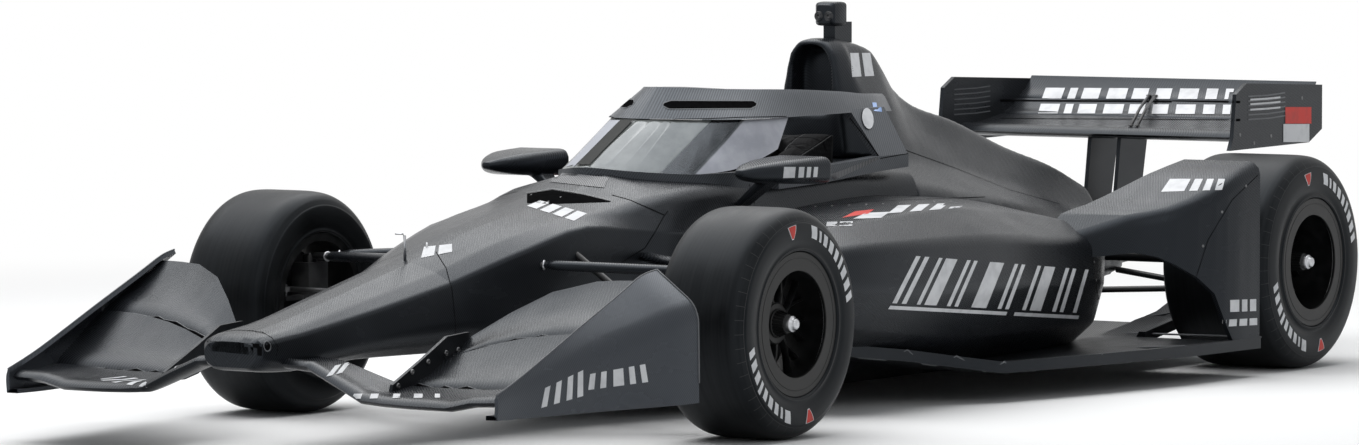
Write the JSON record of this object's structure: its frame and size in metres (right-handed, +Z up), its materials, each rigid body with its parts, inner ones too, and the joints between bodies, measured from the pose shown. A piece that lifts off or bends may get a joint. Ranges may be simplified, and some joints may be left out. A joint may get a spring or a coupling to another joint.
{
  "type": "open wheel racing car",
  "caption": "Single-seat open wheel racing car with bare carbon bodywork, a framed windscreen over the cockpit, front and rear wings and slick tyres",
  "frame": {"origin": "on the ground under the middle of the car's length and width", "axes": "+X forward, +Y to the driver's left, +Z up"},
  "size_m": [5.277, 1.97, 1.19],
  "materials": {
    "carbon_skin": "bare carbon fibre laminate with a satin sheen",
    "carbon_floor": "matt carbon fibre laminate, scuffed below",
    "carbon_structure": "matt carbon fibre laminate",
    "frame_metal": "titanium frame with a black coat",
    "screen_glass": "clear polycarbonate with a light tint",
    "tyre_rubber": null,
    "rim_metal": "forged rim, satin black, with a bare metal nut",
    "upright_metal": "machined aluminium alloy",
    "link_metal": "streamlined steel legs, black, with bare ends",
    "casting_metal": "dull grey casting",
    "core_metal": "finned radiator core",
    "pad_foam": "dark padded foam"
  },
  "bodies": {
    "chassis": {"nose_cone": "carbon_skin", "tub": "carbon_skin", "floor": "carbon_floor", "sidepods": "carbon_skin", "radiators": "core_metal", "wheel_guards": "carbon_skin", "engine_cover": "carbon_skin", "roll_hoop_fairing": "carbon_skin", "camera_pod": "carbon_skin", "engine_block": "casting_metal", "gearbox": "casting_metal", "rear_crash_box": "carbon_structure", "front_wing_main_plane": "carbon_skin", "front_wing_lower_flaps": "carbon_skin", "front_wing_upper_flaps": "carbon_skin", "front_wing_adjusters": "carbon_structure", "front_wing_endplates": "carbon_skin", "rear_wing_main_plane": "carbon_skin", "rear_wing_flaps": "carbon_skin", "rear_wing_endplates": "carbon_skin", "rear_wing_pylons": "carbon_structure", "screen_upper_frame": "frame_metal", "screen_base_frame": "frame_metal", "windscreen": "screen_glass", "mirrors": "carbon_skin", "headrest": "pad_foam", "seat": "pad_foam", "dashboard": "carbon_structure", "front_suspension": "link_metal", "rear_suspension": "link_metal", "rear_uprights": "upright_metal", "drive_shafts": "link_metal"},
    "wheel_front_left": {"tyre_front_left": "tyre_rubber", "rim_front_left": "rim_metal"},
    "wheel_front_right": {"tyre_front_right": "tyre_rubber", "rim_front_right": "rim_metal"},
    "wheel_rear_left": {"tyre_rear_left": "tyre_rubber", "rim_rear_left": "rim_metal"},
    "wheel_rear_right": {"tyre_rear_right": "tyre_rubber", "rim_rear_right": "rim_metal"},
    "knuckle_left": {"front_upright_left": "upright_metal"},
    "knuckle_right": {"front_upright_right": "upright_metal"},
    "steering_rack": {"steering_rack": "upright_metal"},
    "steering_wheel": {"steering_wheel": "pad_foam"}
  },
  "joints": [
    {"name": "steer_left", "type": "hinge", "parent": "chassis", "child": "knuckle_left", "pos_m": [1.2765, 0.735, 0.328], "axis": [0, 0, 1], "range_deg": [-18, 18]},
    {"name": "steer_right", "type": "hinge", "parent": "chassis", "child": "knuckle_right", "pos_m": [1.2765, -0.735, 0.328], "axis": [0, 0, 1], "range_deg": [-18, 18]},
    {"name": "rack_slide", "type": "slide", "parent": "chassis", "child": "steering_rack", "axis": [0, 1, 0], "range_m": [-0.0375, 0.0375]},
    {"name": "steering_wheel_turn", "type": "hinge", "parent": "chassis", "child": "steering_wheel", "pos_m": [0.6045, 0, 0.6], "axis": [-0.9703, 0, 0.2419], "range_deg": [-180, 180]},
    {"name": "spin_front_left", "type": "hinge", "parent": "knuckle_left", "child": "wheel_front_left", "pos_m": [1.2765, 0.833, 0.328], "axis": [0, 1, 0], "continuous": true},
    {"name": "spin_rear_left", "type": "hinge", "parent": "chassis", "child": "wheel_rear_left", "pos_m": [-1.8095, 0.782, 0.342], "axis": [0, 1, 0], "continuous": true},
    {"name": "spin_front_right", "type": "hinge", "parent": "knuckle_right", "child": "wheel_front_right", "pos_m": [1.2765, -0.833, 0.328], "axis": [0, 1, 0], "continuous": true},
    {"name": "spin_rear_right", "type": "hinge", "parent": "chassis", "child": "wheel_rear_right", "pos_m": [-1.8095, -0.782, 0.342], "axis": [0, 1, 0], "continuous": true}
  ],
  "couplings": [
    {"joint": "steer_right", "follows": "steer_left", "ratio": 1},
    {"joint": "rack_slide", "follows": "steer_left", "m_per_rad": 0.118},
    {"joint": "steering_wheel_turn", "follows": "steer_left", "ratio": 10}
  ]
}
